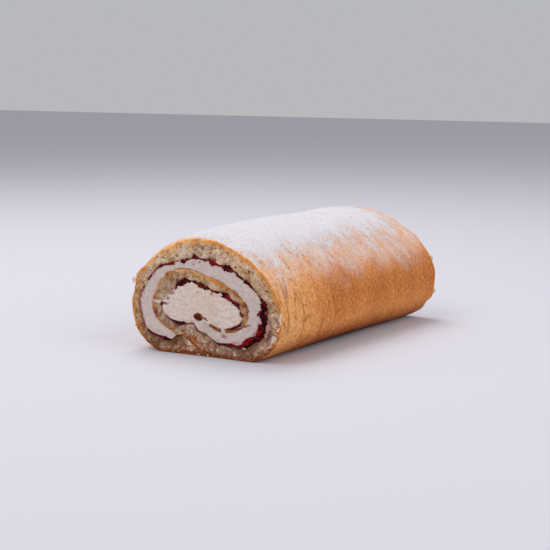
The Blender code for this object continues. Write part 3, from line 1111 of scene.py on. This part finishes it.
def sugar_grains(first):
    """Loose clumps of sugar round the layer's thin parts: their points, their faces with the
    points counted from first, and the winding angle and the y of each point."""
    random = np.random.default_rng(GRAIN_SEED)
    angle = random.uniform(SUGAR_FROM - 14, SUGAR_TO + 20, 8 * GRAINS)
    y = random.uniform(NEAR_Y + 2 * MM, FAR_Y - 1.5 * MM, 8 * GRAINS)
    keep = random.uniform(0, 1, len(angle)) < hump(sugar_dust(angle, y), 0.5, 0.25)
    angle, y = angle[keep][:GRAINS], y[keep][:GRAINS]
    size = np.interp(random.uniform(0, 1, len(angle)) ** 3, (0, 1), GRAIN_SIZES)
    centre = outer_point(angle, y, lift=np.maximum(sugar_height(angle, y), 0) + 0.3 * size)
    stretch = random.uniform(0.6, 1.3, (len(angle), 6, 1))
    turn = random.normal(0, 0.25, (len(angle), 6, 3))
    corners = centre[:, None] + (OCTAHEDRON[None] * stretch + turn) * size[:, None, None]
    start = first + 6 * np.arange(len(angle))
    faces = (start[:, None, None] + OCTAHEDRON_FACES[None]).reshape(-1, 3)
    return corners.reshape(-1, 3), faces.tolist(), np.repeat(angle, 6), np.repeat(y, 6)


# --- Materials ---


class Graph:
    """A material's node tree. Each method adds a node and returns its output socket."""

    def __init__(self, name):
        self.material = bpy.data.materials.new(name)
        self.material.use_nodes = True
        self.tree = self.material.node_tree
        self.shader = self.tree.nodes["Principled BSDF"]
        self.place = self.node("ShaderNodeTexCoord", output="Object")

    def set(self, node, key, value):
        socket = node.inputs[key]
        if isinstance(value, bpy.types.NodeSocket):
            self.tree.links.new(value, socket)
        else:
            socket.default_value = value

    def look(self, base, roughness, specular, glow=0.0, reach=1.0):
        """Base colour, roughness and gloss, and how much light spreads inside over reach mm."""
        self.set(self.shader, "Base Color", base)
        self.set(self.shader, "Roughness", roughness)
        self.set(self.shader, "Specular IOR Level", specular)
        self.set(self.shader, "Subsurface Weight", glow)
        self.set(self.shader, "Subsurface Radius", (1.0, 0.6, 0.4))
        self.set(self.shader, "Subsurface Scale", reach * MM)

    def node(self, kind, inputs=None, output=0, **settings):
        made = self.tree.nodes.new(kind)
        for key, value in settings.items():
            setattr(made, key, value)
        for key, value in (inputs or {}).items():
            self.set(made, key, value)
        return made.outputs[output]

    def value(self, name):
        return self.node("ShaderNodeAttribute", output="Fac", attribute_name=name)

    def axis(self, index):
        return self.node("ShaderNodeSeparateXYZ", {0: self.place}, output=index)

    def math(self, operation, a, b=0.0, c=0.0):
        return self.node("ShaderNodeMath", {0: a, 1: b, 2: c}, operation=operation)

    def total(self, *terms):
        """The sum of plain numbers, sockets, and pairs of a socket and its weight."""
        result = sum(term for term in terms if isinstance(term, (int, float)))
        for term in terms:
            if isinstance(term, tuple):
                result = self.math("MULTIPLY_ADD", term[0], term[1], result)
            elif isinstance(term, bpy.types.NodeSocket):
                result = self.math("ADD", term, result)
        return result

    def times(self, a, b):
        return self.math("MULTIPLY", a, b)

    def larger(self, a, b):
        return self.math("MAXIMUM", a, b)

    def span(self, value, low, high, to_low=0.0, to_high=1.0):
        """A value turned smoothly from the range low to high into the other range."""
        inputs = {"Value": value, "From Min": low, "From Max": high}
        inputs |= {"To Min": to_low, "To Max": to_high}
        return self.node("ShaderNodeMapRange", inputs, clamp=True, interpolation_type="SMOOTHSTEP")

    def mix(self, share, a, b, blend="MIX"):
        inputs = {0: share, 6: a, 7: b}
        return self.node("ShaderNodeMix", inputs, output=2, data_type="RGBA", blend_type=blend)

    def ramp(self, level, tint, *rows):
        """A tint that turns into each row's as the level passes from the row's low to its high."""
        for low, high, towards in rows:
            tint = self.mix(self.span(level, low, high), tint, towards)
        return tint

    def covered(self, tint, name, ragged, patchy, thin, most, over):
        """A tint under another one, which an attribute lays on in ragged patches."""
        value = self.value(name)
        share = self.times(self.span(self.total(value, ragged), *patchy), self.span(value, *thin))
        return self.mix(self.times(share, most), tint, over)

    def scaled(self, size, where):
        """Coordinates as multiples of a size in mm, one size or one for each axis."""
        inputs = {0: where or self.place, 1: (1 / (np.ones(3) * size * MM)).tolist()}
        return self.node("ShaderNodeVectorMath", inputs, operation="MULTIPLY")

    def noise(self, size, detail=3.0, where=None, roughness=0.55):
        """Noise round 0.5 whose lumps are about size mm across."""
        inputs = {"Vector": self.scaled(size, where), "Scale": 1.0}
        inputs |= {"Detail": detail, "Roughness": roughness}
        return self.node("ShaderNodeTexNoise", inputs)

    def spots(self, size, where=None):
        """The distance to the nearest of scattered points about size mm apart."""
        inputs = {"Vector": self.scaled(size, where), "Scale": 1.0}
        return self.node("ShaderNodeTexVoronoi", inputs, output="Distance")

    def sheet_place(self):
        """Coordinates that follow the sheet, in metres: along it and along the roll."""
        inputs = {0: self.times(self.value("run"), MM), 1: self.axis(1), 2: 0.0}
        return self.node("ShaderNodeCombineXYZ", inputs)

    def bump(self, height, distance, strength=1.0):
        inputs = {"Height": height, "Distance": distance, "Strength": strength}
        self.set(self.shader, "Normal", self.node("ShaderNodeBump", inputs))


def colour(red, green, blue):
    """A linear colour from one in sRGB, 0 to 255."""
    v = np.array((red, green, blue)) / 255
    return *np.where(v <= 0.04045, v / 12.92, ((v + 0.055) / 1.055) ** 2.4).tolist(), 1.0


# The crumb's tints: the dark one is painted shade in the hollows, the light one a painted highlight
# on the crumbs that stand out, over the crumb's own mottled tone.
CRUMB_LIGHT = colour(255, 232, 206)
CRUMB_MID = colour(230, 190, 150)
CRUMB_DARK = colour(176, 122, 74)
CRUMB_GOLD = colour(220, 160, 96)
# Painted shade of the crumb low down, partly damper crumb.
CRUMB_LOW_SHADE_AND_DAMP = colour(176, 148, 124)
# Painted shade in the crumb's pores, partly browner crumb.
CRUMB_PORE_SHADE = colour(118, 72, 38)
CRUST_PALE = colour(242, 178, 112)
CRUST_GOLD = colour(226, 146, 76)
CRUST_DARK = colour(190, 106, 42)
CRUST_FOOT = colour(112, 46, 2)
CRUST_PORE = colour(122, 62, 22)
# Painted shade in the creases of the crust.
CRUST_CREASE_SHADE = colour(146, 70, 8)
LINE_PALE = colour(255, 196, 130)
LINE_GOLD = colour(230, 146, 66)
LINE_DARK = colour(132, 58, 4)
TIP_RIM = colour(150, 80, 34)
TIP_BROWN = colour(66, 16, 4)
JAM_DEEP = colour(48, 1, 6)
JAM_THIN = colour(118, 22, 26)
JAM_BRIGHT = colour(156, 5, 18)
JAM_STAIN = colour(108, 44, 58)
FRUIT_RED = colour(190, 16, 30)
CREAM_STAIN = colour(166, 66, 88)
CREAM_PALE = colour(238, 222, 213)
CREAM_WARM = colour(237, 218, 200)
CREAM_RING = colour(222, 206, 198)
CREAM_DULL = colour(232, 226, 222)
SUGAR_WHITE = colour(220, 223, 232)
SUGAR_GREY = colour(206, 203, 213)

# The heights between which the crumb turns darker and browner: painted shade low on the cut, partly
# damper crumb.
LOW_SHADE_AND_DAMP = (46 * MM, 17 * MM)


def crust_colour(g, sheet):
    """The crust: gold, darker where baked more and at its foot, with creases painted darker as
    shade in their grooves, and with short dashes round the roll and pores. Also how strongly these
    marks show, from 0 to 1."""
    streaks = g.noise((9, 4, 1), 3.0, sheet)
    speckle = g.noise((2.2, 1.2, 1), 3.0, sheet, roughness=0.6)
    close = g.span(g.axis(1), NEAR_Y, NEAR_Y + 80 * MM, 1.0, 0.6)
    level = g.total(g.value("bake"), (streaks, 0.5), (speckle, 0.9), -0.64)
    level = g.total(level, (g.times(g.total(speckle, -0.48), close), 2.0))
    rows = (-0.05, 0.45, CRUST_GOLD), (0.4, 1.0, CRUST_DARK), (0.95, 2.0, CRUST_FOOT)
    crust = g.ramp(level, CRUST_PALE, *rows)
    many = g.span(g.noise((13, 13, 1), 2.0, sheet), 0.34, 0.6)
    many = g.times(g.total((many, 0.75), 0.25), close)
    dashes = g.noise((2.4, 0.9, 1), 2.0, sheet, roughness=0.5)
    dashes = g.times(g.span(dashes, 0.56, 0.66), g.times(many, 0.85))
    dots = g.span(g.spots((1.7, 1.1, 1), sheet), 0.36, 0.14)
    dots = g.times(g.times(dots, g.span(speckle, 0.45, 0.6)), many)
    # The creases painted darker: painted shade in their grooves, over the shade their relief casts.
    creased = g.times(g.span(g.value("crease"), 0.1, 0.7), 0.72)
    crust = g.mix(creased, crust, CRUST_CREASE_SHADE)
    dark = g.larger(dashes, dots)
    return g.mix(g.times(dark, 0.85), crust, CRUST_PORE), g.larger(dark, creased)


def sugar_cover(g, sheet):
    """How much, from 0 to 1, icing sugar hides the crust: nearly all of it at the top, and less
    and less in specks, patches and a thin haze down the sides."""
    dust = g.value("dust")
    specks = g.noise((1.7, 0.9, 1), 4.0, sheet, roughness=0.72)
    patches = g.noise((13, 7, 1), 2.0, sheet)
    grain = g.noise(0.45, 2.0)
    fainter = g.span(g.axis(1), NEAR_Y + 20 * MM, NEAR_Y + 90 * MM)
    sparser = g.span(g.axis(1), NEAR_Y + 60 * MM, NEAR_Y + 120 * MM)
    level = g.total((dust, 1.3), (specks, 2.4), patches, (grain, 1.2), (sparser, -0.18), -2.77)
    thick = g.times(g.span(level, -0.12, 0.4), g.span(dust, 0.0, 0.14))
    haze = g.span(g.total((grain, 1.6), (specks, 1.2), (patches, 0.7)), 1.36, 2.25)
    haze = g.times(g.times(haze, g.span(dust, 0.0, 0.27)), g.total((fainter, 0.45), 0.5))
    return g.total(thick, haze, (g.times(thick, haze), -1.0))


def crumb_colour(g, depth, fine, tone_and_light, hole):
    """The crumb: pale where it stands out and golden in the hollows, painted light and shade over
    its own mottled tone, golden near the crust, browner low down, painted shade and partly damper
    crumb, and dark in its pores, painted shade and partly browner crumb."""
    # Pale where the crumb stands out, darker in the hollows: painted light and shade, with a
    # mottled tone.
    crumb = g.ramp(tone_and_light, CRUMB_DARK, (0.0, 0.5, CRUMB_MID), (0.45, 1.0, CRUMB_LIGHT))
    crumb = g.mix(g.span(depth, 5.0, 0.5, 0.0, 0.5), crumb, CRUMB_GOLD)
    # Darker and browner low down: painted shade, partly damper crumb, less on the pale crumbs.
    low = g.span(g.total((g.noise(7, 2.0), 18 * MM), g.axis(2)), *LOW_SHADE_AND_DAMP)
    low = g.times(low, g.span(tone_and_light, 0.3, 1.1, 0.95, 0.45))
    crumb = g.mix(low, crumb, CRUMB_LOW_SHADE_AND_DAMP, "MULTIPLY")
    # Brightness by winding angle: painted light and shade, partly damper crumb; greyness where
    # moist.
    inputs = {"Color": crumb, "Saturation": g.value("strong"), "Value": g.value("bright")}
    crumb = g.node("ShaderNodeHueSaturation", inputs)
    hole = g.spots(1.1)
    # Dark pores: painted shade in the pits, partly browner crumb.
    small_pore_shade = g.span(g.total((fine, 0.9), hole), 0.66, 0.46)
    pore_shade = g.larger(g.times(small_pore_shade, 0.6), g.span(g.value("pore_shade"), 0.05, 0.7))
    return g.mix(g.times(pore_shade, 0.75), crumb, CRUMB_PORE_SHADE)


def crust_line(g, crumb, depth, tone_and_light):
    """The crumb with the crust that the cut shows round it, a thin line of uneven width."""
    uneven = g.total((g.noise(2.4, 4.0, roughness=0.7), 2.6), (g.noise(5, 2.0), 2.4), -1.5)
    line = g.span(g.math("SUBTRACT", depth, g.times(g.value("line"), uneven)), 0.55, -0.4)
    brown = g.total(g.value("brown"), (tone_and_light, -0.3), (g.noise(3.5, 2.0), 1.2), -0.45)
    tint = g.ramp(brown, LINE_PALE, (-0.1, 0.3, LINE_GOLD), (0.25, 0.95, LINE_DARK))
    return g.mix(g.times(line, 0.92), crumb, tint)


def sponge_material():
    g = Graph("sponge")
    sheet = g.sheet_place()
    depth, hole = g.value("depth"), g.spots(1.1)
    fine = g.noise(0.9, 4.0, roughness=0.7)
    blotch = g.noise(3.2, roughness=0.6)
    # The torn relief makes the crumb paler where it stands out: painted light; the noise is its
    # mottled tone.
    tone_and_light = g.total((g.value("torn"), 0.34), (fine, 2.3), (blotch, 1.1), -1.2)
    face = crust_line(g, crumb_colour(g, depth, fine, tone_and_light, hole), depth, tone_and_light)
    ragged = g.total((fine, 1.8), (blotch, 0.8), -1.3)
    face = g.covered(face, "stain", ragged, (0.15, 0.7), (0.02, 0.2), 0.88, JAM_STAIN)
    ragged = g.total((fine, 1.1), -0.55)
    face = g.covered(face, "smear", ragged, (0.3, 0.6), (0.05, 0.3), 0.9, CREAM_PALE)
    crust, marks = crust_colour(g, sheet)
    crust = g.mix(g.times(sugar_cover(g, sheet), 0.92), crust, SUGAR_WHITE)
    g.look(g.mix(g.value("cut"), crust, face), 0.68, 0.22, 0.12)
    grit = g.total((g.noise(0.5), 1.2), (g.math("MINIMUM", hole, 0.5), 0.7), (marks, -0.9))
    g.bump(grit, 0.4 * MM, 0.8)
    return g.material


def cream_material():
    g = Graph("cream")
    drag = g.noise((4, 4, 1.8))
    curd = g.noise(1.7, roughness=0.6)
    tint = g.ramp(g.noise(8), CREAM_PALE, (0.35, 0.65, CREAM_WARM))
    tint = g.ramp(g.value("ring"), tint, (0.0, 1.0, CREAM_RING))
    dull = g.total((drag, 0.9), (curd, 1.5), -1.2)
    tint = g.mix(g.span(dull, -0.3, 0.35, 0.0, 0.8), tint, CREAM_DULL, "MULTIPLY")
    ragged = g.total((g.noise(1.2, 4.0), 1.3), -0.62)
    tint = g.covered(tint, "stain", ragged, (0.08, 0.6), (0.03, 0.25), 0.75, CREAM_STAIN)
    g.look(tint, 0.55, 0.25, 0.25)
    g.bump(g.total(drag, curd, (g.noise(0.6), 0.5)), 0.35 * MM, 1.0)
    return g.material


def jam_material(name="berry_jam", main=JAM_DEEP, bright=JAM_BRIGHT):
    g = Graph(name)
    run, red = g.span(g.value("thick"), 1.2, 3.4), g.value("red")
    thin = g.total(g.noise(2.2), (run, -0.16), (red, 0.2))
    shine = g.total(g.noise(1.5), (run, -0.08), (red, 0.26))
    tint = g.ramp(shine, g.ramp(thin, main, (0.38, 0.6, JAM_THIN)), (0.58, 0.7, bright))
    g.look(tint, 0.25, 0.05, 0.08)
    g.bump(g.noise(0.8), 0.35 * MM, 0.8)
    return g.material


def sugar_material():
    g = Graph("icing_sugar")
    sheet = g.sheet_place()
    white = g.ramp(g.noise(1.2, 4.0), SUGAR_WHITE, (0.35, 0.7, SUGAR_GREY))
    cover = g.larger(sugar_cover(g, sheet), g.value("grain"))
    g.look(g.mix(g.times(cover, 0.94), crust_colour(g, sheet)[0], white), 0.9, 0.12)
    g.bump(g.total(g.noise(0.4), (cover, 0.8)), 0.3 * MM, 0.8)
    return g.material


def crumb_material():
    g = Graph("crumbs")
    tint = g.ramp(g.noise(1.5, 2.0), CRUMB_DARK, (0.35, 0.6, CRUMB_MID))
    # Loose crumbs darker low down too: painted shade, partly damper crumb.
    low = g.span(g.axis(2), *LOW_SHADE_AND_DAMP, 0.0, 0.6)
    g.look(g.mix(low, tint, CRUMB_LOW_SHADE_AND_DAMP, "MULTIPLY"), 0.8, 0.15, 0.1, 0.8)
    g.bump(g.noise(0.3), 0.2 * MM, 0.8)
    return g.material


def tip_material(name="sheet_tip", main=TIP_BROWN, bright=LINE_DARK):
    g = Graph(name)
    g.look(g.ramp(g.noise(1.3), main, (0.44, 0.68, bright)), 0.6, 0.08, 0.1, 0.8)
    g.bump(g.noise(0.6), 0.35 * MM, 0.8)
    return g.material


# --- Studio ---

CAMERA_LENS = 100
CAMERA_AZIMUTH = 32.2
CAMERA_ELEVATION = 8.07
CAMERA_DISTANCE = 0.8714
CAMERA_AIM = Vector((0.0306, NEAR_Y + 0.0271, 0.0461))
FLOOR_REACH = 3


def aim(made, at, azimuth, elevation, distance):
    """Turns an object to look at a point from a distance. Azimuth 0 is in front of the near cut."""
    a, e = math.radians(azimuth), math.radians(elevation)
    back = Vector((math.sin(a) * math.cos(e), -math.cos(a) * math.cos(e), math.sin(e)))
    made.location = at + back * distance
    made.rotation_euler = (-back).to_track_quat("-Z", "Y").to_euler()


def add_camera():
    lens = bpy.data.cameras.new("camera")
    lens.lens = CAMERA_LENS
    lens.sensor_width = 36
    made = linked("camera", lens)
    aim(made, CAMERA_AIM, CAMERA_AZIMUTH, CAMERA_ELEVATION, CAMERA_DISTANCE)
    bpy.context.scene.camera = made


def add_area_light(name, azimuth, elevation, distance, size, power, tint):
    lamp = bpy.data.lights.new(name, "AREA")
    lamp.shape = "DISK"
    lamp.size = size
    lamp.energy = power
    lamp.color = tint
    aim(linked(name, lamp), Vector(), azimuth, elevation, distance)


def add_studio():
    world = bpy.data.worlds.new("studio")
    world.use_nodes = True
    sky = world.node_tree.nodes["Background"]
    sky.inputs["Color"].default_value = (0.96, 0.97, 1.0, 1.0)
    sky.inputs["Strength"].default_value = 0.5
    bpy.context.scene.world = world
    add_area_light("key", 235, 62, 1.2, 0.9, 7.0, (1.0, 0.99, 0.98))
    add_area_light("front", 335, 55, 1.2, 0.8, 3.6, (1.0, 0.98, 0.96))
    add_area_light("fill", 85, 32, 1.3, 1.0, 5.0, (1.0, 0.97, 0.94))
    view = bpy.context.scene.view_settings
    view.view_transform = "Standard"
    view.look = "None"
    view.exposure = 0.0


def add_floor():
    corners = np.array([(-1, -1, 0), (1, -1, 0), (1, 1, 0), (-1, 1, 0)])
    floor = mesh_object("floor", FLOOR_REACH * corners, [(0, 1, 2, 3)])
    g = Graph("floor")
    g.look(colour(208, 207, 217), 0.8, 0.5)
    floor.data.materials.append(g.material)


# --- The whole ---

add_camera()
add_studio()
add_floor()
cream = cream_material()
jam = jam_material()
fruit = jam_material("fruit", JAM_BRIGHT, FRUIT_RED)
build_sponge(sponge_material())
build_cream(cream)
build_jam(jam)
build_sugar(sugar_material())
build_crumbs(crumb_material())
build_bits("cream_smears", CREAM_BITS, FAR_BITS, cream, "cream")
build_bits("jam_smears", JAM_BITS, JAM_BITS[1::2], jam, "jam")
build_bits("fruit_pieces", FRUIT_BITS, FRUIT_BITS[::2], fruit, "jam")
build_bits("sheet_tip", TIP_BITS, TIP_BITS[:1], tip_material(), "sponge")
build_bits("tip_rim", RIM_BITS, RIM_BITS[:1], tip_material("tip_rim", TIP_RIM, LINE_DARK), "sponge")
